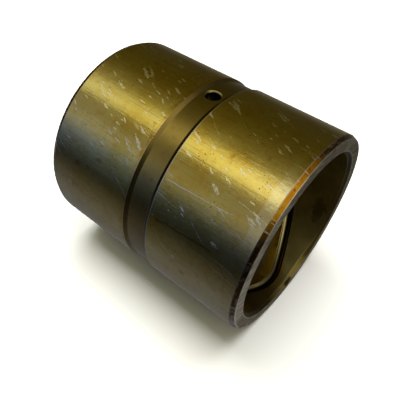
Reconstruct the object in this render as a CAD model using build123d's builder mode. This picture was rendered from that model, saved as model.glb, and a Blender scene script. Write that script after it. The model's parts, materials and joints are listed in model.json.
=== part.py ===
from build123d import *
import os
from math import cos, radians, sin

# Plain sleeve bushing for a 75 mm pin. All sizes are in millimetres and degrees.
# The bushing's axis runs along X. The origin is the middle of the bore, +X points out of
# the front end, and the grease hole points straight up, along +Z.

# Driving dimensions
pin_size = 75.0  # bore diameter
wall = 7.5
length = 100.0
lead_in_length = 2.1  # long, shallow chamfer that starts the sleeve into its housing
lead_in_drop = 0.9
bore_chamfer = 1.3

# Grease groove round the middle of the outside
groove_width = 12.0  # between its edges on the outside
groove_depth = 0.9
groove_slope = 1.6  # how much of the width each sloping side takes
groove_root = 0.5  # corner radius that the turning tool leaves on the floor

# Radial grease hole, from the grease groove into the bore
hole_diameter = 6.0
hole_chamfer = 0.6

# Oil groove in the bore: a figure of eight that crosses itself close to the grease hole
# and turns back near each end, on the far side from the hole
oil_width = 4.0
oil_depth = 1.2
oil_reach = 43.0  # from mid-length to the middle of the groove where it turns back
oil_bend = 12.0  # each turn back is spread over this much either side of its middle
oil_offset = 1.5  # how far round from the hole the eight crosses itself

# Sizes that follow from them
bore_radius = pin_size / 2
outer_radius = bore_radius + wall
floor_radius = outer_radius - groove_depth
half_length = length / 2
half_groove = groove_width / 2
half_floor = half_groove - groove_slope

# A ball cutter this large, held this far from the axis, leaves the oil groove
cutter_radius = (oil_width**2 / 4 + oil_depth**2) / (2 * oil_depth)
cutter_centre = bore_radius + oil_depth - cutter_radius

# The straight flanks of the eight are helices, and each bend is a parabola wrapped round
oil_pitch = 2 * oil_reach / (1 - oil_bend / 360)
flank_length = oil_pitch * (1 - 2 * oil_bend / 360)
bend_drop = oil_pitch * oil_bend / 720
bend_middle = oil_offset - 90


def bend_point(share, end):
    """Cutter's centre in the bend at one end, where share runs from -1 to 1 along the bend."""
    around = radians(bend_middle + share * oil_bend)
    along = end * (oil_reach - bend_drop * share**2)
    return Vector(along, cutter_centre * cos(around), cutter_centre * sin(around))


def bend_direction(share, end):
    """The way that the cutter moves through that point."""
    around = radians(bend_middle + share * oil_bend)
    speed = cutter_centre * radians(oil_bend)
    return Vector(-2 * end * bend_drop * share, -speed * sin(around), speed * cos(around))


with BuildPart() as sleeve:
    # Half section through the wall, revolved about the bushing's axis
    with BuildSketch(Plane.XZ) as section:
        with BuildLine():
            Polyline(
                (-half_length, bore_radius + bore_chamfer),
                (-half_length, outer_radius - lead_in_drop),
                (-half_length + lead_in_length, outer_radius),
                (-half_groove, outer_radius),
                (-half_floor, floor_radius),
                (half_floor, floor_radius),
                (half_groove, outer_radius),
                (half_length - lead_in_length, outer_radius),
                (half_length, outer_radius - lead_in_drop),
                (half_length, bore_radius + bore_chamfer),
                (half_length - bore_chamfer, bore_radius),
                (-half_length + bore_chamfer, bore_radius),
                close=True,
            )
        make_face()
        corners = section.vertices().filter_by_position(Axis.Y, floor_radius, floor_radius)
        fillet(corners, groove_root)
    revolve(axis=Axis.X)

    # Two helices, one of each hand, cross near the hole and make the flanks of the eight
    for hand in (1, -1):
        with BuildLine() as flank:
            helix = Helix(
                oil_pitch,
                flank_length,
                cutter_centre,
                center=(-flank_length / 2, 0, 0),
                direction=(1, 0, 0),
                lefthand=hand < 0,
                mode=Mode.PRIVATE,
            )
            add(helix.rotate(Axis.X, oil_offset - hand * (180 - oil_bend)))
        with BuildSketch(flank.line ^ 0):
            Circle(cutter_radius)
        sweep(mode=Mode.SUBTRACT)

    # A bend joins the two flanks at each end
    for end in (1, -1):
        with BuildLine() as bend:
            through = [bend_point(share, end) for share in (-1, -0.5, 0, 0.5, 1)]
            Spline(through, tangents=(bend_direction(-1, end), bend_direction(1, end)))
        with BuildSketch(bend.line ^ 0):
            Circle(cutter_radius)
        sweep(mode=Mode.SUBTRACT)

    # Grease hole, drilled down from the groove's floor and countersunk there
    with Locations((0, 0, floor_radius)):
        CounterSinkHole(
            radius=hole_diameter / 2,
            counter_sink_radius=hole_diameter / 2 + hole_chamfer,
            depth=outer_radius - bore_radius,
            counter_sink_angle=90,
        )

sleeve.part.label = "sleeve"

os.makedirs("parts", exist_ok=True)
export_step(sleeve.part, "parts/sleeve.step")

print(f"oil groove: cutter {2 * cutter_radius:.2f} mm across, pitch {oil_pitch:.2f} mm")
print(f"sleeve: {sleeve.part.volume / 1000:.1f} cm3, {len(sleeve.part.faces())} faces")
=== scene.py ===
import json
import math

import bmesh
import bpy
from mathutils import Matrix, Vector, noise


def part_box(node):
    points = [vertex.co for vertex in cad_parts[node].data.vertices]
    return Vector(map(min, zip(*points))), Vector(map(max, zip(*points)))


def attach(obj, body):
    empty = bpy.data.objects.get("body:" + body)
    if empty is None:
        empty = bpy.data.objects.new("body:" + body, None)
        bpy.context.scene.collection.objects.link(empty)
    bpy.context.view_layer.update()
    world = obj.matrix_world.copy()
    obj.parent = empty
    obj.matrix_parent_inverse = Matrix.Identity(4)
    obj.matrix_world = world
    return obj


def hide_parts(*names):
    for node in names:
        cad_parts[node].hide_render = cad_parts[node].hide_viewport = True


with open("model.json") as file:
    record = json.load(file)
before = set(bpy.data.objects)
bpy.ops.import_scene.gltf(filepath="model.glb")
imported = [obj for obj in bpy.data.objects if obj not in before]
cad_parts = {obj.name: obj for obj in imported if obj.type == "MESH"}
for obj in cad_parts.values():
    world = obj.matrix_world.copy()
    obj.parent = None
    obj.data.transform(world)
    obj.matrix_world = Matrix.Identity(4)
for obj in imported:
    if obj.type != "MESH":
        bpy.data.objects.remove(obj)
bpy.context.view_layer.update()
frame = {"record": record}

# A sleeve bushing lies on a pale floor. The axis runs along X, the grease hole is on top (+Z)
# and the front end is at +X. Lengths are millimetres until a mesh is made, then metres.
MM = 0.001

low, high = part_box("sleeve")
mounts = {mount["name"]: mount for mount in frame["record"]["mounts"]}

HALF_LENGTH = high.x / MM
OUTER_RADIUS = min(high.y, -low.y) / MM
BORE_RADIUS = mounts["bore"]["dims"]["r_mm"]
HOLE_RADIUS = mounts["grease_hole"]["dims"]["r_mm"]
BORE_CHAMFER = (2 * HALF_LENGTH - mounts["bore"]["dims"]["length_mm"]) / 2
LEAD_IN_LENGTH = (2 * HALF_LENGTH - mounts["outside_seat"]["dims"]["length_mm"]) / 2
LEAD_IN_DROP = 0.9
HALF_GROOVE = 6.0
GROOVE_SLOPE = 1.6
GROOVE_DEPTH = 0.9
GROOVE_ROOT = 0.5
HOLE_CHAMFER = 0.6
EDGE_BREAK = 0.22
EDGE_WEAR = 0.07

# Oil groove in the bore: a figure of eight that crosses itself near the grease hole
OIL_WIDTH = 4.0
OIL_DEPTH = 1.2
OIL_REACH = 43.0
OIL_BEND = 12.0
OIL_OFFSET = 1.5
OIL_EDGE = 0.3
# Degrees that each half of the groove's cutter runs past the bend, into the other half
OIL_OVERLAP = 0.1
OIL_LID_PAST, OIL_LID_DROP = 0.25, 0.6
OIL_PITCH = 2 * OIL_REACH / (1 - OIL_BEND / 360)
OIL_BEND_DROP = OIL_PITCH * OIL_BEND / 720

# A knock in the inner rim at the front, near the bottom; its turn is measured from +Y
NICK_TURN = -81.0
NICK_WIDTH = 4.6
NICK_DEPTH = 0.9
NICK_SPREAD = 0.9

# The front bore chamfer was dressed unevenly and is wider there; the turn is from +Y
DRESSED_TURN = -68.0
DRESSED_SPREAD = 15.0
DRESSED_EXTRA = 0.7

FLOOR_RADIUS = OUTER_RADIUS - GROOVE_DEPTH
SEAT_END = HALF_LENGTH - LEAD_IN_LENGTH
FACE_OUTER = OUTER_RADIUS - LEAD_IN_DROP
FACE_INNER = BORE_RADIUS + BORE_CHAMFER
BORE_END = HALF_LENGTH - BORE_CHAMFER

# How finely the meshes are divided
SEGMENTS = 384
LONGEST_STEP = 2.6
ROUNDING_STEPS = 4
OIL_ARC_STEPS = 12
OIL_EDGE_STEPS = 4
OIL_STATIONS = 300
HOLE_SEGMENTS = 64
CREASE_ANGLE = 32.0


# ---------------------------------------------------------------- mesh helpers


def rounded_outline(corners):
    """Closed outline through (x, r, rounding) corners, with each corner turned into an arc."""
    outline = []
    for i, (x, r, rounding) in enumerate(corners):
        here = Vector((x, r))
        before = (Vector(corners[i - 1][:2]) - here).normalized()
        after = (Vector(corners[(i + 1) % len(corners)][:2]) - here).normalized()
        half_angle = before.angle(after) / 2
        centre = here + (before + after).normalized() * rounding / math.sin(half_angle)
        start = here + before * rounding / math.tan(half_angle) - centre
        end = here + after * rounding / math.tan(half_angle) - centre
        for k in range(ROUNDING_STEPS + 1):
            spoke = start.slerp(end, k / ROUNDING_STEPS) * rounding
            outline.append(centre + spoke)
    return outline


def subdivided(outline):
    """The same closed outline, with points added so that no step is too long."""
    points = []
    for i, here in enumerate(outline):
        there = outline[(i + 1) % len(outline)]
        steps = max(1, math.ceil((there - here).length / LONGEST_STEP))
        points += [here.lerp(there, k / steps) for k in range(steps)]
    return points


def mesh_object(name, vertices, faces, materials, regions=None):
    """A new linked object from vertices in millimetres."""
    mesh = bpy.data.meshes.new(name)
    mesh.from_pydata([Vector(v) * MM for v in vertices], [], faces)
    for material in materials:
        mesh.materials.append(material)
    if regions:
        mesh.polygons.foreach_set("material_index", regions)
    mesh.update()
    made = bpy.data.objects.new(name, mesh)
    bpy.context.scene.collection.objects.link(made)
    return made


def ring_faces(rings, around, closed):
    """Quads between rings of this many points each; closed joins the last ring to the first."""
    faces = []
    for i in range(rings if closed else rings - 1):
        for j in range(around):
            a, b = i * around, (i + 1) % rings * around
            k = (j + 1) % around
            faces.append((a + j, b + j, b + k, a + k))
    return faces


# ---------------------------------------------------------------- the sleeve's shape

REGIONS = ("land", "groove", "end_face", "lead_in", "bore", "oil_groove", "hole")


# Points of the half section this far along X are on an end face
ON_FACE = HALF_LENGTH - 0.05


def region_of(x, r):
    """Which finish a point of the half section has."""
    if abs(x) < HALF_GROOVE + 0.02 and r > BORE_RADIUS + 2:
        return "groove"
    if r < FACE_INNER and abs(x) < ON_FACE:
        return "bore"
    if abs(x) > ON_FACE:
        return "end_face"
    if abs(x) > SEAT_END:
        return "lead_in"
    return "land"


def edge_wander(x, r, angle):
    """How far wear moves a point of an outer corner of an end face, towards the middle."""
    corner = abs(abs(x) - HALF_LENGTH) < 0.5 and r > FACE_OUTER - 0.5
    if not corner:
        return 0.0
    place = Vector((math.cos(angle), math.sin(angle), x / HALF_LENGTH))
    return EDGE_WEAR * abs(noise.fractal(place * 9.0, 0.6, 2.0, 4))


def rim_nick(x, r, angle):
    """How deep the knock in the front end's inner rim is at a point of the half section."""
    along = math.hypot(x - HALF_LENGTH, r - BORE_RADIUS - BORE_CHAMFER)
    around = math.remainder(angle - math.radians(NICK_TURN), 2 * math.pi) * BORE_RADIUS
    return NICK_DEPTH * math.exp(-(along / NICK_SPREAD) ** 2 - (around / (NICK_WIDTH / 2)) ** 4)


def dressed_shift(x, r, angle):
    """Move, along X and outwards, of the two corners of the front bore chamfer where it is wide."""
    around = math.remainder(angle - math.radians(DRESSED_TURN), 2 * math.pi)
    extra = DRESSED_EXTRA * math.exp(-(around / math.radians(DRESSED_SPREAD)) ** 4)
    if math.hypot(x - HALF_LENGTH, r - BORE_RADIUS - BORE_CHAMFER) < 0.3:
        return 0.0, extra
    if math.hypot(x - HALF_LENGTH + BORE_CHAMFER, r - BORE_RADIUS) < 0.3:
        return -extra, 0.0
    return 0.0, 0.0


def turned_body(materials):
    """The sleeve as it comes off the lathe: the half section revolved about X."""
    right = [
        (HALF_GROOVE - GROOVE_SLOPE, FLOOR_RADIUS, GROOVE_ROOT),
        (HALF_GROOVE, OUTER_RADIUS, EDGE_BREAK),
        (SEAT_END, OUTER_RADIUS, 2 * EDGE_BREAK),
        (HALF_LENGTH, FACE_OUTER, EDGE_BREAK),
        (HALF_LENGTH, FACE_INNER, EDGE_BREAK),
        (BORE_END, BORE_RADIUS, EDGE_BREAK),
    ]
    left = [(-x, r, rounding) for x, r, rounding in reversed(right)]
    outline = subdivided(rounded_outline(right + left))
    vertices, regions = [], []
    for x, r in outline:
        for j in range(SEGMENTS):
            angle = 2 * math.pi * j / SEGMENTS
            wander = edge_wander(x, r, angle)
            nick = rim_nick(x, r, angle)
            shift_x, shift_r = dressed_shift(x, r, angle)
            worn_r = r - wander + nick + shift_r
            worn_x = x - math.copysign(wander, x) - nick + shift_x
            vertices.append((worn_x, worn_r * math.cos(angle), worn_r * math.sin(angle)))
    for i, here in enumerate(outline):
        middle = (here + outline[(i + 1) % len(outline)]) / 2
        regions += [REGIONS.index(region_of(*middle))] * SEGMENTS
    faces = ring_faces(len(outline), SEGMENTS, closed=True)
    return mesh_object("bushing_sleeve", vertices, faces, materials, regions)


def oil_reach_at(turn):
    """How far from mid-length the oil groove is, this many degrees from where it crosses."""
    share = (180 - abs(turn)) / OIL_BEND
    if share < 1:
        return math.copysign(OIL_REACH - OIL_BEND_DROP * share**2, turn)
    return turn * OIL_PITCH / 360


def oil_section():
    """Cutter's outline as (across, radius) points: the ball's arc, eased edges, and a lid
    inside the bore."""
    cutter = (OIL_WIDTH**2 / 4 + OIL_DEPTH**2) / (2 * OIL_DEPTH)
    centre = BORE_RADIUS + OIL_DEPTH - cutter
    surface = BORE_RADIUS - centre
    ease_height = surface + OIL_EDGE
    ease_across = math.sqrt((cutter + OIL_EDGE) ** 2 - ease_height**2)
    arc_end = math.atan2(ease_height, ease_across)
    right = []
    for k in range(1, OIL_EDGE_STEPS):
        turn = arc_end + math.pi + (math.pi / 2 - arc_end) * k / OIL_EDGE_STEPS
        across = ease_across + OIL_EDGE * math.cos(turn)
        right.append((across, ease_height + OIL_EDGE * math.sin(turn)))
    lid = [(right[-1][0] + OIL_LID_PAST, surface - OIL_LID_DROP)]
    arc = []
    for k in range(OIL_ARC_STEPS + 1):
        turn = arc_end + (math.pi - 2 * arc_end) * k / OIL_ARC_STEPS
        arc.append((cutter * math.cos(turn), cutter * math.sin(turn)))
    half = lid + list(reversed(right))
    section = half + arc + [(-a, h) for a, h in reversed(half)]
    return [(across, centre + height) for across, height in section]


def oil_cutter(name, hand, material):
    """Half of the figure of eight as a closed tube, from just past one bend to the other."""
    section = oil_section()
    vertices = []
    step = 0.5
    end_turn = 180 + OIL_OVERLAP
    for i in range(OIL_STATIONS + 1):
        turn = end_turn * (2 * i / OIL_STATIONS - 1)
        along = oil_reach_at(turn)
        ahead = oil_reach_at(turn + step) - oil_reach_at(turn - step)
        round_step = math.radians(2 * step) * BORE_RADIUS
        direction = Vector((ahead, hand * round_step)).normalized()
        across_x, across_arc = -direction.y, direction.x
        middle = math.radians(90 + OIL_OFFSET + hand * turn)
        for across, radius in section:
            angle = middle + across * across_arc / BORE_RADIUS
            x = along + across * across_x
            vertices.append((x, radius * math.cos(angle), radius * math.sin(angle)))
    count = len(section)
    faces = ring_faces(OIL_STATIONS + 1, count, closed=False)
    first = OIL_STATIONS * count
    faces += [tuple(reversed(range(count))), tuple(range(first, first + count))]
    return mesh_object(name, vertices, faces, [material])


def hole_cutter(name, material):
    """Drill and countersink for the grease hole, as a closed solid about Z, up into the groove."""
    sink_radius, sink_height = HOLE_RADIUS + HOLE_CHAMFER, FLOOR_RADIUS - HOLE_CHAMFER
    # Radius and height: the drill, the countersink with both its corners eased, and a lid
    profile = [
        (HOLE_RADIUS, BORE_RADIUS - 3),
        (HOLE_RADIUS, sink_height - 0.12),
        (HOLE_RADIUS + 0.06, sink_height + 0.03),
        (sink_radius - 0.12, FLOOR_RADIUS - 0.18),
        (sink_radius + 0.12, FLOOR_RADIUS - 0.02),
        (sink_radius + 0.9, FLOOR_RADIUS + 0.4),
        (sink_radius + 0.9, FLOOR_RADIUS + 1.2),
    ]
    vertices = []
    for r, z in profile:
        for j in range(HOLE_SEGMENTS):
            angle = 2 * math.pi * j / HOLE_SEGMENTS
            vertices.append((r * math.cos(angle), r * math.sin(angle), z))
    faces = ring_faces(len(profile), HOLE_SEGMENTS, closed=False)
    faces = [tuple(reversed(face)) for face in faces]
    last = (len(profile) - 1) * HOLE_SEGMENTS
    faces += [tuple(reversed(range(HOLE_SEGMENTS))), tuple(range(last, last + HOLE_SEGMENTS))]
    return mesh_object(name, vertices, faces, [material])


def cut(body, cutter):
    """Takes the cutter's volume out of the body's own mesh, and removes the cutter."""
    modifier = body.modifiers.new("cut", "BOOLEAN")
    modifier.object = cutter
    modifier.operation = "DIFFERENCE"
    modifier.solver = "EXACT"
    modifier.material_mode = "INDEX"
    depsgraph = bpy.context.evaluated_depsgraph_get()
    result = bpy.data.meshes.new_from_object(body.evaluated_get(depsgraph))
    body.modifiers.clear()
    body.data = result
    result.name = body.name
    bpy.data.objects.remove(cutter)


def outward(piece):
    """Turns a closed mesh's faces so that they look out."""
    made = bmesh.new()
    made.from_mesh(piece.data)
    bmesh.ops.recalc_face_normals(made, faces=made.faces)
    made.to_mesh(piece.data)
    made.free()
    return piece


def crease_round(piece, region):
    """Makes a crease where this region's faces meet other faces."""
    made = bmesh.new()
    made.from_mesh(piece.data)
    for edge in made.edges:
        inside = [face.material_index == REGIONS.index(region) for face in edge.link_faces]
        if any(inside) and not all(inside):
            edge.smooth = False
    made.to_mesh(piece.data)
    made.free()


# ---------------------------------------------------------------- node helper


class Nodes:
    """Adds nodes to a tree. An input is a number, a colour or another node's output."""

    def __init__(self, tree):
        self.tree = tree
        tree.nodes.clear()

    def add(self, kind, inputs=None, output=0, **settings):
        node = self.tree.nodes.new(kind)
        for key, value in settings.items():
            setattr(node, key, value)
        for key, value in (inputs or {}).items():
            if isinstance(value, bpy.types.NodeSocket):
                self.tree.links.new(value, node.inputs[key])
            else:
                node.inputs[key].default_value = value
        return node.outputs[output] if node.outputs else None

    def math(self, operation, a, b=0.0, c=0.0):
        return self.add("ShaderNodeMath", {0: a, 1: b, 2: c}, operation=operation)

    def total(self, *values):
        result = values[0]
        for value in values[1:]:
            result = self.math("ADD", result, value)
        return result

    def times(self, *values):
        result = values[0]
        for value in values[1:]:
            result = self.math("MULTIPLY", result, value)
        return result

    def step(self, value, start, end, to_min=0.0, to_max=1.0):
        """Smooth rise from to_min to to_max as value goes from start to end."""
        inputs = {"Value": value, 1: start, 2: end, 3: to_min, 4: to_max}
        return self.add("ShaderNodeMapRange", inputs, interpolation_type="SMOOTHSTEP")

    def either(self, a, b):
        return self.math("MAXIMUM", a, b)

    def mix(self, share, a, b):
        node = self.tree.nodes.new("ShaderNodeMix")
        node.data_type = "RGBA"
        for socket, value in ((node.inputs[0], share), (node.inputs[6], a), (node.inputs[7], b)):
            if isinstance(value, bpy.types.NodeSocket):
                self.tree.links.new(value, socket)
            elif isinstance(value, float):
                socket.default_value = value
            else:
                socket.default_value = (*value, 1.0)
        return node.outputs[2]

    def vector(self, x, y, z=0.0):
        return self.add("ShaderNodeCombineXYZ", {0: x, 1: y, 2: z})

    def scaled(self, vector, scale):
        inputs = {0: vector, 1: scale if hasattr(scale, "__len__") else (scale,) * 3}
        return self.add("ShaderNodeVectorMath", inputs, operation="MULTIPLY")

    def noise(self, vector, detail=2.0, rough=0.5, output=0):
        inputs = {"Vector": vector, "Scale": 1.0, "Detail": detail, "Roughness": rough}
        return self.add("ShaderNodeTexNoise", inputs, output)

    def dots(self, vector):
        """Distance from the nearest of scattered points, about one in each unit cell."""
        inputs = {"Vector": vector, "Scale": 1.0}
        return self.add("ShaderNodeTexVoronoi", inputs, "Distance")


class Surface(Nodes):
    """A metal material's nodes, with places on the sleeve in millimetres."""

    def __init__(self, name):
        self.material = bpy.data.materials.new(name)
        self.material.use_nodes = True
        super().__init__(self.material.node_tree)
        place = self.add("ShaderNodeTexCoord", output="Object")
        self.place = self.scaled(place, 1 / MM)
        split = self.add("ShaderNodeSeparateXYZ", {0: self.place}).node
        self.x, self.y, self.z = split.outputs
        self.radius = self.math("SQRT", self.math("ADD", self.times(self.y, self.y),
                                                  self.times(self.z, self.z)))
        # From the top, positive on the -Y side; the jump is at the bottom, on the floor
        self.turn = self.math("ARCTAN2", self.times(self.y, -1.0), self.z)
        self.arc = self.times(self.turn, OUTER_RADIUS)
        self.from_middle = self.math("ABSOLUTE", self.x)

    def turn_step(self, start, end):
        """Smooth rise from 0 to 1 as the turn goes from start to end, in degrees."""
        return self.step(self.turn, math.radians(start), math.radians(end))

    def streaks_along(self, wide, long, detail=3.0):
        """Noise drawn out along the axis; wide and long are in millimetres."""
        return self.noise(self.scaled(self.place, (1 / long, 1 / wide, 1 / wide)), detail, 0.6)

    def streaks_round(self, wide, long):
        """Noise drawn out round the axis."""
        return self.noise(self.scaled(self.place, (1 / wide, 1 / long, 1 / long)), 3.0, 0.6)

    def patches(self, size, detail=3.0, shift=0.0):
        moved = self.add("ShaderNodeVectorMath", {0: self.place, 1: (shift,) * 3}, operation="ADD")
        return self.noise(self.scaled(moved, 1 / size), detail, 0.55)

    def unrolled(self, turn_degrees, long, wide, shift=0.0):
        """Places on the unrolled outside, turned, and measured in marks of this size."""
        flat = self.vector(self.math("ADD", self.x, shift), self.arc)
        inputs = {"Vector": flat, "Angle": math.radians(turn_degrees)}
        turned = self.add("ShaderNodeVectorRotate", inputs, rotation_type="Z_AXIS")
        return self.scaled(turned, (1 / long, 1 / wide, 1.0))

    def flakes(self, turn_degrees, long, wide, share, fill, shift=0.0):
        """Scattered slim marks: about this share of the cells has one, filling part of it."""
        cells = self.unrolled(turn_degrees, long, wide, shift)
        wobble = self.noise(self.scaled(self.place, 0.6), 3.0, 0.6, output=1)
        wobble = self.add("ShaderNodeVectorMath", {0: wobble, 1: (0.5,) * 3}, operation="SUBTRACT")
        wobble = self.scaled(wobble, (0.5, 1.1, 0.0))
        bent = self.add("ShaderNodeVectorMath", {0: cells, 1: wobble}, operation="ADD")
        pattern = self.add("ShaderNodeTexVoronoi", {"Vector": bent, "Scale": 1.0}).node
        luck = self.add("ShaderNodeSeparateColor", {0: pattern.outputs["Color"]}).node
        chosen = self.math("LESS_THAN", luck.outputs[0], share)
        size = self.math("MULTIPLY_ADD", luck.outputs[1], fill * 0.7, fill * 0.3)
        near = self.math("SUBTRACT", size, pattern.outputs["Distance"])
        return self.times(chosen, self.step(near, 0.0, 0.05))

    def spot(self, x, turn_degrees, long, wide):
        """One smudge on the outside, ragged at its edge."""
        off_x = self.times(self.math("SUBTRACT", self.x, x), 1 / long)
        arc = math.radians(turn_degrees) * OUTER_RADIUS
        off_arc = self.times(self.math("SUBTRACT", self.arc, arc), 1 / wide)
        apart = self.math("SQRT", self.math("ADD", self.times(off_x, off_x),
                                            self.times(off_arc, off_arc)))
        return self.step(self.total(apart, self.times(self.patches(2.5), 1.2)), 1.5, 0.9)

    def beyond_oil_groove(self):
        """How far a place in the bore lies outside the figure of eight, towards its end, in mm."""
        turn = self.math("ABSOLUTE", self.math("SUBTRACT", self.turn, math.radians(OIL_OFFSET)))
        turn = self.math("MINIMUM", turn, self.math("SUBTRACT", 2 * math.pi, turn))
        bend = math.radians(OIL_BEND)
        share = self.math("DIVIDE", self.math("SUBTRACT", math.pi, turn), bend)
        past = self.either(self.math("SUBTRACT", share, 1.0), 0.0)
        drop = self.math("SUBTRACT", self.times(share, share), self.times(past, past))
        reach = self.math("MULTIPLY_ADD", drop, -OIL_BEND_DROP, OIL_REACH)
        return self.math("SUBTRACT", self.from_middle, reach)

    def from_nick(self):
        """How far a place is from the knock in the front rim, in half sizes of the knock."""
        turn = math.radians(NICK_TURN)
        rim = FACE_INNER + 0.2
        middle = (HALF_LENGTH - 0.5, rim * math.cos(turn), rim * math.sin(turn))
        off = self.add("ShaderNodeVectorMath", {0: self.place, 1: middle}, operation="SUBTRACT")
        off = self.add("ShaderNodeVectorRotate", {"Vector": off, "Angle": -turn},
                       rotation_type="X_AXIS")
        off = self.scaled(off, (1 / 0.75, 1 / 2.2, 1.6 / NICK_WIDTH))
        return self.add("ShaderNodeVectorMath", {0: off}, 1, operation="LENGTH")

    def knocked(self, tone):
        """The knock is painted dark as shade, and its raised edge is painted pale as a highlight."""
        apart = self.from_nick()
        # Painted highlight: a pale ring on the knock's raised edge
        lip_highlight = self.times(self.step(apart, 1.8, 1.4), self.step(apart, 1.0, 1.2))
        tone = self.mix(self.times(lip_highlight, 0.5), tone, PALE_FILM_AND_LIP_HIGHLIGHT)
        # Painted shade in the hollow of the knock
        recess_shade = self.step(self.total(apart, self.times(self.patches(1.5), 0.5)), 1.5, 0.9)
        return self.mix(self.times(recess_shade, 0.95), tone, KNOCK_SHADE)

    def stroke(self, span, turns, sway, width):
        """One wavy line along the sleeve, between two x places and two turns in degrees."""
        start, end = (math.radians(turn) * OUTER_RADIUS for turn in turns)
        share = self.math("DIVIDE", self.math("SUBTRACT", self.x, span[0]), span[1] - span[0])
        line = self.math("MULTIPLY_ADD", share, end - start, start)
        wave = self.noise(self.vector(self.times(self.x, 0.16), start), 3.0, 0.5)
        wave = self.math("MULTIPLY_ADD", wave, 2 * sway, -sway)
        off = self.math("ABSOLUTE", self.math("SUBTRACT", self.arc, self.math("ADD", line, wave)))
        within = self.times(self.step(share, 0.0, 0.06), self.step(share, 1.0, 0.9))
        return self.times(self.step(off, width, width * 0.4), within)

    def finish(self, colour, roughness, height, depth):
        """Metal with this colour, roughness and bump; depth is the bump's height in metres."""
        bump = self.add("ShaderNodeBump", {"Strength": 1.0, "Distance": depth, "Height": height})
        shader = self.tree.nodes.new("ShaderNodeBsdfPrincipled")
        shader.inputs["Metallic"].default_value = 1.0
        for key, value in (("Base Color", colour), ("Roughness", roughness), ("Normal", bump)):
            self.tree.links.new(value, shader.inputs[key])
        out = self.tree.nodes.new("ShaderNodeOutputMaterial")
        self.tree.links.new(shader.outputs[0], out.inputs[0])
        return self.material


# ---------------------------------------------------------------- materials

GOLD_FILM = (0.62, 0.49, 0.155)
DEEP_FILM = (0.57, 0.41, 0.09)
# Pale film on the lands; also the painted highlight on the knock's edge
PALE_FILM_AND_LIP_HIGHLIGHT = (0.62, 0.54, 0.27)
BARE_STEEL = (0.62, 0.60, 0.56)
FRESH_STEEL = (0.82, 0.80, 0.76)
SCUFFED_STEEL = (0.86, 0.83, 0.75)
AMBER = (0.56, 0.285, 0.018)
DEEP_AMBER = (0.46, 0.19, 0.010)
YELLOW_AMBER = (0.50, 0.27, 0.010)
BRIGHT_AMBER = (0.88, 0.60, 0.02)
DARK_STAIN = (0.10, 0.055, 0.015)
BROWN_FILM = (0.20, 0.12, 0.04)
RUST_FILM = (0.36, 0.15, 0.045)
# Painted shade in the knock
KNOCK_SHADE = (0.05, 0.038, 0.008)
GROOVE_FILMS = (0.34, 0.255, 0.08), (0.28, 0.21, 0.075)
# Painted shade for the grease groove's front wall
GROOVE_WALL_SHADE = (0.05, 0.03, 0.008)
FACED_STEELS = (0.27, 0.23, 0.19), (0.64, 0.62, 0.56)
FURROW_DIRT = (0.07, 0.055, 0.04)
FACE_STAIN = (0.26, 0.20, 0.12)
FACE_MOTTLE = (0.20, 0.150, 0.092)
LEAD_IN_CHIPS = (0.16, 0.075, 0.025), (0.44, 0.39, 0.29)
BORE_FILMS = (0.60, 0.54, 0.27), (0.54, 0.46, 0.19)
BORE_STAIN = (0.11, 0.070, 0.020)
BORE_WORN_EDGE = (0.78, 0.70, 0.42)
CHAMFER_FILMS = (0.15, 0.10, 0.028), (0.10, 0.072, 0.020)
CHAMFER_BLACK = (0.022, 0.014, 0.008)
CHAMFER_RUBBED = (0.62, 0.48, 0.17)
OIL_FILMS = (0.58, 0.52, 0.30), (0.54, 0.45, 0.22)
# Painted shade inside the oil groove
OIL_GROOVE_SHADE = (0.028, 0.018, 0.008)
COUNTERSINK_FILM = (0.36, 0.30, 0.15)
# Painted shade inside the grease hole
HOLE_WALL_SHADE = (0.05, 0.036, 0.016)
FLOOR_PALES = (0.80, 0.80, 0.79), (0.83, 0.83, 0.82)


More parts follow.
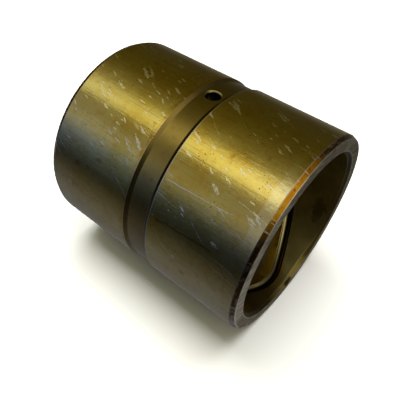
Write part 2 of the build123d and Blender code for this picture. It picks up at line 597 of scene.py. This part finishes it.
def land_material():
    """Ground steel under a yellow rust-preventive film, scuffed through to bare metal."""
    s = Surface("ground_land")
    tone = s.mix(s.step(s.patches(14.0), 0.35, 0.65), GOLD_FILM, DEEP_FILM)
    tone = s.mix(s.times(s.step(s.streaks_along(1.4, 40.0), 0.45, 0.75), 0.4), tone, PALE_FILM_AND_LIP_HIGHLIGHT)
    fine = s.streaks_along(0.5, 16.0, 4.0)
    tone = s.mix(s.times(s.step(fine, 0.52, 0.78), 0.32), tone, DARK_STAIN)

    # The film is thinner towards both ends, and rubbed off the last millimetres at the front. That
    # rubbed band is kept to the turns under the lamp's highlight, so it is partly a painted highlight
    thin = s.times(s.step(s.from_middle, 18.0, 46.0), 0.14)
    ragged = s.total(s.x, s.times(s.patches(3.0), 1.2))
    rubbed_band_highlight = s.times(s.step(ragged, SEAT_END - 4.2, SEAT_END - 3.4), 0.28,
                   s.turn_step(8, 28), s.turn_step(63, 50))
    low_down = s.times(s.turn_step(72, 100), 0.16)
    tone = s.mix(s.total(thin, low_down), tone, BARE_STEEL)
    tone = s.mix(rubbed_band_highlight, tone, FRESH_STEEL)
    flecks = s.times(s.step(s.patches(2.4, 3.0, 61.0), 0.50, 0.66), 0.22)
    tone = s.mix(flecks, tone, DEEP_AMBER)

    # The film pools at the rear land's groove edge and has gone brown in spots
    edge = s.times(s.step(s.x, -7.9, -6.9), s.step(s.x, 0.0, -1.0))
    pooled = s.times(s.step(s.x, -9.0, -6.9), s.step(s.x, 0.0, -1.0),
                     s.step(s.patches(3.2), 0.50, 0.60))
    tone = s.mix(s.either(s.times(edge, 0.35), s.times(pooled, 0.8)), tone, YELLOW_AMBER)
    brown = s.step(s.patches(7.0, 3.0, 11.0), 0.66, 0.74)
    brown = s.either(brown, s.either(s.spot(-34.0, 69.0, 2.4, 1.7), s.spot(-23.5, 61.0, 2.6, 1.5)))
    tone = s.mix(s.times(brown, 0.6), tone, RUST_FILM)

    bare = scuffed_places(s)
    tone = s.mix(s.times(bare, 0.93), tone, SCUFFED_STEEL)
    corner = s.times(s.step(s.from_middle, HALF_GROOVE + 0.5, HALF_GROOVE + 0.2),
                     s.step(s.x, -1.0, 1.0, 0.4, 1.0))
    corner = s.either(corner, s.times(s.step(s.from_middle, SEAT_END - 0.35, SEAT_END - 0.1), 0.4))
    tone = s.mix(s.times(corner, 0.8), tone, BARE_STEEL)

    dark = dark_places(s)
    tone = s.mix(s.times(dark, 0.85), tone, DARK_STAIN)

    roughness = s.total(0.115, s.times(s.patches(3.0), 0.06), s.times(fine, 0.05),
                        s.times(bare, 0.17), s.times(rubbed_band_highlight, 0.12), s.times(corner, 0.15))
    height = s.total(s.times(s.streaks_along(1.1, 12.0), 0.8), s.times(fine, 0.40),
                     s.times(s.patches(1.8), 0.8), s.times(s.patches(3.4, 2.0, 41.0), 1.1),
                     s.times(s.patches(6.0), 1.3),
                     s.times(bare, 0.4), s.times(dark, -0.6))
    return s.finish(tone, roughness, height, 0.030 * MM)


def scuffed_places(s):
    """Bare marks on the lands, thickest on top, where other parts have rubbed the sleeve."""
    on_top = s.times(s.turn_step(-30, -5), s.turn_step(62, 40))
    where = s.either(s.times(on_top, s.step(s.patches(16.0, 2.0, 7.0), 0.34, 0.42)),
                     s.step(s.patches(12.0, 2.0, 23.0), 0.60, 0.64))
    scuffs = s.either(s.flakes(-25.0, 7.5, 1.5, 0.24, 0.42),
                      s.either(s.flakes(-16.0, 5.0, 1.0, 0.14, 0.42, 40.0),
                               s.flakes(-36.0, 15.0, 2.2, 0.11, 0.36, 80.0)))
    lines = s.either(s.flakes(-34.0, 30.0, 0.8, 0.12, 0.32, 15.0),
                     s.flakes(-8.0, 34.0, 0.8, 0.10, 0.32, 55.0))
    scratch = s.either(s.stroke((7.0, 37.0), (50.5, 48.0), 1.0, 0.24), s.times(lines, 0.6))
    crowded = s.times(s.flakes(-9.0, 6.0, 0.5, 0.40, 0.40, 60.0), 0.7,
                      s.spot(-13.0, 42.0, 9.0, 15.0))
    cluster = s.times(s.flakes(-28.0, 4.6, 1.2, 0.55, 0.42, 110.0), s.spot(-15.0, 18.0, 9.0, 11.0))
    bare = s.either(s.either(s.times(scuffs, where), crowded), s.either(cluster, scratch))
    return s.times(bare, s.step(s.patches(1.2, 3.0, 17.0), 0.34, 0.50, 0.35, 1.0))


def dark_places(s):
    """Specks in patches over the lands, and one long dark line on the front land."""
    specks = s.step(s.dots(s.scaled(s.place, 0.5)), 0.15, 0.08)
    fine_specks = s.step(s.dots(s.scaled(s.place, 0.95)), 0.20, 0.12)
    specks = s.times(s.either(specks, s.times(fine_specks, 0.6)),
                     s.step(s.patches(9.0, 2.0, 3.0), 0.44, 0.56))
    stroke = s.stroke((8.0, 36.0), (70.0, 67.5), 1.6, 0.42)
    return s.either(specks, s.times(stroke, 0.72))


def groove_material():
    """Turned floor and walls of the grease groove, where the film is whole, with painted shade along
    its front wall.
    """
    s = Surface("turned_groove")
    tone = s.mix(s.step(s.patches(11.0), 0.35, 0.7), *GROOVE_FILMS)
    lines = s.streaks_round(0.25, 60.0)
    tone = s.mix(s.times(s.step(s.patches(2.5), 0.6, 0.7), 0.25), tone, DARK_STAIN)
    old_film = s.times(s.turn_step(5, 28), s.turn_step(48, 32))
    tone = s.mix(s.times(old_film, 0.35), tone, BROWN_FILM)
    half_floor = HALF_GROOVE - GROOVE_SLOPE
    # Painted shade: the front wall and the floor beside it are made nearly black
    recess_shade = s.step(s.total(s.x, s.times(s.patches(2.0), 0.4)), half_floor + 0.1, half_floor + 0.5)
    tone = s.mix(s.times(recess_shade, 0.93), tone, GROOVE_WALL_SHADE)
    roughness = s.total(0.22, s.times(lines, 0.08))
    height = s.total(s.times(lines, 0.5), s.times(s.patches(4.0), 0.5))
    return s.finish(tone, roughness, height, 0.012 * MM)


def end_face_material():
    """Bare steel, faced across with straight marks."""
    s = Surface("faced_end")
    across = s.add("ShaderNodeVectorRotate", {"Vector": s.place, "Angle": math.radians(12.0)},
                   rotation_type="X_AXIS")
    marks = s.noise(s.scaled(across, (0.5, 0.05, 0.60)), 4.0, 0.7)
    furrows = s.noise(s.scaled(across, (0.5, 0.06, 0.9)), 1.0, 0.5)
    furrows = s.step(s.math("ABSOLUTE", s.math("SUBTRACT", furrows, 0.5)), 0.04, 0.01)
    tone = s.mix(s.step(marks, 0.36, 0.62), *FACED_STEELS)
    tone = s.mix(s.times(furrows, 0.66, s.step(s.patches(5.0, 2.0, 19.0), 0.38, 0.52)), tone,
                 FURROW_DIRT)
    tone = s.mix(s.times(s.step(s.patches(6.0), 0.5, 0.7), 0.5), tone, FACE_STAIN)
    low_down = s.either(s.turn_step(98, 122), s.turn_step(-150, -172))
    mottled = s.step(s.noise(s.scaled(across, (0.5, 0.20, 0.45)), 3.0, 0.6), 0.34, 0.60, 0.45, 0.95)
    tone = s.mix(s.times(low_down, mottled), tone, FACE_MOTTLE)
    rims = s.either(s.step(s.radius, FACE_OUTER - 0.8, FACE_OUTER - 0.4),
                    s.step(s.radius, FACE_INNER + 0.5, FACE_INNER + 0.25))
    tone = s.mix(s.times(rims, 0.8, s.step(s.patches(2.2), 0.42, 0.5)), tone, FRESH_STEEL)
    tone = s.knocked(tone)
    roughness = s.total(0.30, s.times(marks, 0.15), s.times(low_down, mottled, 0.16))
    height = s.total(marks, s.times(furrows, -0.4))
    return s.finish(tone, roughness, height, 0.15 * MM)


def lead_in_material():
    """Turned lead-in: the film is pooled thick and amber, and brown where it has been knocked."""
    s = Surface("amber_lead_in")
    tone = s.mix(s.step(s.patches(5.0), 0.4, 0.65), AMBER, DEEP_AMBER)
    scraped = s.noise(s.vector(s.times(s.x, 0.3), s.times(s.arc, 0.45)), 3.0, 0.6)
    worn_grey = s.noise(s.vector(s.times(s.x, 0.5), s.times(s.arc, 0.22)), 3.0, 0.6)
    old = s.mix(s.step(worn_grey, 0.47, 0.56), *LEAD_IN_CHIPS)
    spots = s.step(s.patches(1.7, 2.0, 9.0), 0.62, 0.68)
    tone = s.mix(s.times(spots, 0.6), tone, BROWN_FILM)
    low_down = s.turn_step(48, 60)
    high_up = s.turn_step(8, -4)
    chips = s.step(s.total(scraped, s.times(s.either(low_down, high_up), 0.5)), 0.62, 0.66)
    tone = s.mix(s.times(chips, 0.92), tone, old)
    ticks = s.noise(s.vector(s.times(s.x, 0.12), s.times(s.arc, 1.1)), 2.0, 0.6)
    rims = s.either(s.times(s.step(s.from_middle, SEAT_END + 0.45, SEAT_END + 0.15), 0.35),
                    s.step(s.from_middle, HALF_LENGTH - 0.4, HALF_LENGTH - 0.15))
    worn = s.either(s.times(s.step(ticks, 0.62, 0.66), 0.75), s.times(rims, 0.85))
    tone = s.mix(worn, tone, FRESH_STEEL)
    roughness = s.total(0.20, s.times(s.patches(2.0), 0.1), s.times(worn, 0.15))
    return s.finish(tone, roughness, s.total(s.patches(1.5), s.times(worn, 0.5)), 0.03 * MM)


def bore_material():
    """Honed bore under the film, brown on its chamfers and amber beside the oil groove."""
    s = Surface("honed_bore")
    tone = s.mix(s.step(s.patches(14.0), 0.30, 0.70), *BORE_FILMS)
    tone = s.mix(s.times(s.step(s.patches(17.0, 2.0, 31.0), 0.42, 0.68), 0.40), tone, BROWN_FILM)
    beyond = s.beyond_oil_groove()
    pooled = s.times(s.step(beyond, -7.5, -3.4), s.step(beyond, -0.5, -1.5),
                     s.step(s.patches(9.0, 2.0, 5.0), 0.25, 0.50))
    at_bottom = s.step(s.math("ABSOLUTE", s.turn), math.radians(158), math.radians(168))
    dripped = s.times(s.step(beyond, 1.6, 2.4), s.step(beyond, 5.0, 3.0), at_bottom, 0.5)
    tone = s.mix(s.times(s.either(pooled, dripped), 0.95), tone, AMBER)
    low_bend = s.times(pooled, s.turn_step(-140, -160))
    tone = s.mix(s.times(low_bend, 0.75), tone, BRIGHT_AMBER)
    stained = s.either(s.spot(44.0, -114.0, 4.5, 11.0), s.spot(36.0, -150.0, 4.0, 7.0))
    # Browner low down, beyond the oil groove towards the ends
    browner_low_down = s.times(s.step(beyond, 0.3, 2.5), s.turn_step(120, 150), s.turn_step(180, 166))
    tone = s.mix(s.times(browner_low_down, 0.6), tone, BROWN_FILM)
    tone = s.mix(s.times(stained, 0.64), tone, BORE_STAIN)
    worn_edge = s.times(s.step(s.from_middle, BORE_END - 1.2, BORE_END - 0.3),
                        s.step(s.from_nick(), 7.0, 3.0))
    tone = s.mix(s.times(worn_edge, 0.7), tone, BORE_WORN_EDGE)
    chamfer = s.step(s.radius, BORE_RADIUS + 0.01, BORE_RADIUS + 0.09)
    tone = s.mix(chamfer, tone, chamfer_film(s))
    tone = s.knocked(tone)
    lines = s.streaks_round(0.3, 50.0)
    dull_chamfer = s.times(chamfer, s.turn_step(-10, -30))
    roughness = s.total(0.26, s.times(s.patches(10.0, 2.0, 13.0), 0.10), s.times(lines, 0.05),
                        s.times(dull_chamfer, 0.20))
    height = s.total(s.times(lines, 0.3), s.times(s.patches(5.0), 0.6), s.times(s.patches(14.0), 3.0))
    return s.finish(tone, roughness, height, 0.012 * MM)


def chamfer_film(s):
    """The bore chamfers' old film: nearly black high up on one side, and rubbed thin low down."""
    tone = s.mix(s.step(s.patches(4.0), 0.35, 0.65), *CHAMFER_FILMS)
    high_up = s.times(s.turn_step(-85, -60), s.turn_step(-10, -40))
    tone = s.mix(high_up, tone, CHAMFER_BLACK)
    rubbed = s.step(s.total(s.from_nick(), s.times(s.patches(3.0), 1.5)), 7.5, 3.0)
    return s.mix(s.times(rubbed, 0.9), tone, CHAMFER_RUBBED)


def oil_groove_material():
    """Milled oil groove: pale where it faces mid-length, and painted nearly black as shade on its
    side towards the end.
    """
    s = Surface("milled_oil_groove")
    tone = s.mix(s.step(s.patches(6.0), 0.4, 0.65), *OIL_FILMS)
    # Painted shade: the side of the groove towards the end is made nearly black
    shaded_side = s.step(s.beyond_oil_groove(), -1.6, -0.6)
    tone = s.mix(shaded_side, tone, OIL_GROOVE_SHADE)
    roughness = s.total(0.22, s.times(s.patches(2.0), 0.08))
    return s.finish(tone, roughness, s.patches(1.2), 0.012 * MM)


def hole_material():
    """Grease hole: the countersink is bright, and the drilled wall is painted black as shade."""
    s = Surface("drilled_hole")
    # Painted shade: the drilled wall below the countersink is made nearly black
    inside = s.step(s.z, FLOOR_RADIUS - HOLE_CHAMFER + 0.1, FLOOR_RADIUS - HOLE_CHAMFER - 0.1)
    tone = s.mix(inside, COUNTERSINK_FILM, HOLE_WALL_SHADE)
    roughness = s.total(0.25, s.times(s.patches(2.0), 0.08))
    return s.finish(tone, roughness, s.patches(1.0), 0.01 * MM)


def floor_material():
    """Plain pale floor, which turns into the backdrop well away from the sleeve."""
    material = bpy.data.materials.new("pale_floor")
    material.use_nodes = True
    n = Nodes(material.node_tree)
    place = n.add("ShaderNodeTexCoord", output="Object")
    tone = n.mix(n.noise(n.scaled(place, 14.0), 3.0), *FLOOR_PALES)
    shader = n.add("ShaderNodeBsdfPrincipled", {"Base Color": tone, "Roughness": 0.9,
                                                "Specular IOR Level": 0.1})
    apart = n.add("ShaderNodeVectorMath", {0: place}, 1, operation="LENGTH")
    backdrop = n.add("ShaderNodeEmission", {"Color": (*BACKDROP, 1.0), "Strength": 1.0})
    seen = n.add("ShaderNodeMixShader", {0: n.step(apart, 0.22, 0.55), 1: shader, 2: backdrop})
    n.add("ShaderNodeOutputMaterial", {0: seen})
    return material


# ---------------------------------------------------------------- stage, light and camera

# What the metal mirrors, as an angle round the sleeve's axis from +Y up through +Z, and a
# colour. Beside and behind the sleeve:
STUDIO_SIDE = (
    (0, (0.060, 0.052, 0.025)),  # dim warm room
    (40, (0.072, 0.060, 0.010)),
    (62, (0.110, 0.092, 0.018)),
    (78, (0.210, 0.187, 0.068)),
    (91, (0.400, 0.370, 0.170)),
    (97, (1.000, 0.960, 0.535)),  # long box lamp overhead
    (106, (1.470, 1.460, 0.910)),
    (114, (1.270, 1.260, 0.770)),
    (120, (0.400, 0.380, 0.240)),  # pale wall below it
    (132, (0.300, 0.290, 0.210)),
    (147, (0.400, 0.405, 0.330)),
    (158, (0.200, 0.230, 0.280)),  # cool window light that fades out
    (168, (0.065, 0.085, 0.140)),
    (180, (0.022, 0.031, 0.050)),
    (195, (0.016, 0.020, 0.026)),  # darkest, where the table drops away
    (212, (0.070, 0.073, 0.085)),
    (240, (0.150, 0.162, 0.200)),  # ground below
    (288, (0.150, 0.154, 0.155)),
    (328, (0.225, 0.225, 0.195)),
    (348, (0.105, 0.100, 0.075)),
    (360, (0.060, 0.052, 0.025)),
)
# In front of the open end:
STUDIO_FRONT = (
    (0, (0.060, 0.055, 0.040)),
    (53, (0.100, 0.092, 0.065)),
    (73, (0.440, 0.410, 0.270)),
    (93, (0.900, 0.840, 0.560)),
    (113, (0.740, 0.690, 0.460)),
    (128, (0.280, 0.265, 0.190)),
    (140, (0.075, 0.073, 0.060)),
    (153, (0.022, 0.022, 0.020)),
    (195, (0.010, 0.010, 0.010)),
    (213, (0.040, 0.040, 0.040)),
    (240, (0.085, 0.088, 0.090)),
    (272, (0.150, 0.153, 0.150)),
    (288, (0.420, 0.425, 0.390)),
    (302, (0.270, 0.262, 0.225)),
    (311, (0.140, 0.122, 0.085)),
    (320, (0.115, 0.105, 0.085)),
    (340, (0.075, 0.070, 0.058)),
    (360, (0.060, 0.055, 0.040)),
)
COOL_REAR = (0.070, 0.110, 0.280)
END_WALL = (0.014, 0.008, 0.003)
BACKDROP = (0.97, 0.97, 0.965)

# The overhead light, in metres and watts, and half the floor's side, in millimetres
LIGHT_SIZE = 1.2, 0.9
LIGHT_PLACE = (-0.15, 0.1, 1.1)
LIGHT_POWER = 26.0
FLOOR_HALF, FLOOR_CELLS = 3000.0, 12


def studio_bands(n, share, stops):
    """A colour ramp round the axis; share is the angle as a part of a full turn."""
    bands = n.add("ShaderNodeValToRGB", {0: share}).node
    ramp = bands.color_ramp
    for angle, colour in stops[1:-1]:
        ramp.elements.new(angle / 360).color = (*colour, 1.0)
    for element, (angle, colour) in ((ramp.elements[0], stops[0]), (ramp.elements[-1], stops[-1])):
        element.position = angle / 360
        element.color = (*colour, 1.0)
    return bands.outputs[0]


def studio_world():
    """What the metal mirrors. The camera itself sees a plain pale backdrop."""
    world = bpy.data.worlds.new("studio")
    bpy.context.scene.world = world
    world.use_nodes = True
    n = Nodes(world.node_tree)
    direction = n.add("ShaderNodeTexCoord", output="Generated")
    split = n.add("ShaderNodeSeparateXYZ", {0: direction}).node
    x = split.outputs[0]
    turn = n.math("ARCTAN2", split.outputs[2], split.outputs[1])
    share = n.math("FRACT", n.math("DIVIDE", turn, 2 * math.pi))
    # The lamp and the window stand slightly askew to the sleeve
    askew = n.math("FRACT", n.math("MULTIPLY_ADD", n.math("ADD", x, 0.4), -0.025, share))
    side = studio_bands(n, askew, STUDIO_SIDE)
    front = studio_bands(n, share, STUDIO_FRONT)

    # The lamp's far end is dimmer, and the window's cool light comes from behind the sleeve
    dimmer = n.step(x, -0.25, -0.75, 1.06, 0.62)
    lamp = n.math("ADD", 1.0, n.times(n.step(share, 84 / 360, 96 / 360),
                                       n.step(share, 126 / 360, 118 / 360),
                                       n.math("SUBTRACT", dimmer, 1.0)))
    side = n.add("ShaderNodeVectorMath", {0: side, "Scale": lamp}, operation="SCALE")
    cool = n.times(n.step(x, -0.38, -0.58), n.step(share, 132 / 360, 155 / 360),
                   n.step(share, 204 / 360, 160 / 360))
    glow = n.add("ShaderNodeVectorMath", {0: COOL_REAR, "Scale": cool}, operation="SCALE")
    side = n.add("ShaderNodeVectorMath", {0: side, 1: glow}, operation="ADD")

    seen = n.mix(n.step(x, -0.93, -0.98), side, END_WALL)
    seen = n.mix(n.step(x, -0.15, 0.15), seen, front)
    mirrored = n.add("ShaderNodeBackground", {"Color": seen, "Strength": 1.0})
    backdrop = n.add("ShaderNodeBackground", {"Color": (*BACKDROP, 1.0), "Strength": 1.0})
    by_camera = n.add("ShaderNodeLightPath", output="Is Camera Ray")
    shader = n.add("ShaderNodeMixShader", {0: by_camera, 1: mirrored, 2: backdrop})
    n.add("ShaderNodeOutputWorld", {0: shader})


def floor_light():
    """Large soft light overhead. It lights the floor and leaves the metal to the studio."""
    data = bpy.data.lights.new("overhead", "AREA")
    data.shape = "RECTANGLE"
    data.size, data.size_y = LIGHT_SIZE
    data.energy = LIGHT_POWER
    light = bpy.data.objects.new("overhead", data)
    light.location = LIGHT_PLACE
    light.visible_glossy = False
    bpy.context.scene.collection.objects.link(light)


def pale_floor():
    """The floor under the sleeve. The metal doesn't mirror it."""
    half, row = FLOOR_HALF, FLOOR_CELLS + 1
    edge = [-half + 2 * half * i / FLOOR_CELLS for i in range(row)]
    vertices = [(x, y, low.z / MM) for x in edge for y in edge]
    faces = []
    for i in range(FLOOR_CELLS):
        for j in range(FLOOR_CELLS):
            corner = i * row + j
            faces.append((corner, corner + row, corner + row + 1, corner + 1))
    floor = mesh_object("floor", vertices, faces, [floor_material()])
    floor.visible_glossy = False


# Camera: its turns in degrees, its place in metres from the origin, its lens in millimetres
AZIMUTH, ELEVATION, ROLL = 36.93, 46.24, 4.48
DISTANCE, ASIDE, ABOVE = 0.2075, -0.00626, -0.01072
LENS, SENSOR_WIDTH = 39.77, 36.0
SHIFT_X, SHIFT_Y = 0.0414, -0.0123
NEAREST, FURTHEST = 0.01, 20.0


def photo_camera():
    """Camera close in front of the open end, looking down on the sleeve."""
    azimuth, elevation, roll = (math.radians(a) for a in (AZIMUTH, ELEVATION, ROLL))
    back = Vector((math.sin(azimuth) * math.cos(elevation),
                   -math.cos(azimuth) * math.cos(elevation), math.sin(elevation)))
    level = Vector((math.cos(azimuth), math.sin(azimuth), 0.0))
    raised = back.cross(level)
    right = level * math.cos(roll) + raised * math.sin(roll)
    up = raised * math.cos(roll) - level * math.sin(roll)
    data = bpy.data.cameras.new("camera")
    data.lens = LENS
    data.sensor_width = SENSOR_WIDTH
    data.shift_x, data.shift_y = SHIFT_X, SHIFT_Y
    data.clip_start, data.clip_end = NEAREST, FURTHEST
    camera = bpy.data.objects.new("camera", data)
    place = back * DISTANCE + right * ASIDE + up * ABOVE
    axes = Matrix((right, up, back)).transposed().to_4x4()
    camera.matrix_world = Matrix.Translation(place) @ axes
    bpy.context.scene.collection.objects.link(camera)
    bpy.context.scene.camera = camera


# ---------------------------------------------------------------- the sleeve


def bushing_sleeve():
    """The whole sleeve: turned, grooved and drilled, with its finishes."""
    materials = [land_material(), groove_material(), end_face_material(), lead_in_material(),
                 bore_material(), oil_groove_material(), hole_material()]
    oil = materials[REGIONS.index("oil_groove")]
    sleeve = outward(turned_body(materials))
    for hand in (1, -1):
        cut(sleeve, outward(oil_cutter(f"oil_cutter_{hand}", hand, oil)))
    cut(sleeve, outward(hole_cutter("hole_cutter", materials[REGIONS.index("hole")])))
    sleeve.data.shade_smooth()
    sleeve.data.set_sharp_from_angle(angle=math.radians(CREASE_ANGLE))
    crease_round(sleeve, "oil_groove")
    weighted = sleeve.modifiers.new("even_shading", "WEIGHTED_NORMAL")
    weighted.keep_sharp = True
    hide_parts("sleeve")
    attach(sleeve, "root")


bpy.context.scene.view_settings.view_transform = "Standard"
photo_camera()
studio_world()
floor_light()
pale_floor()
bushing_sleeve()
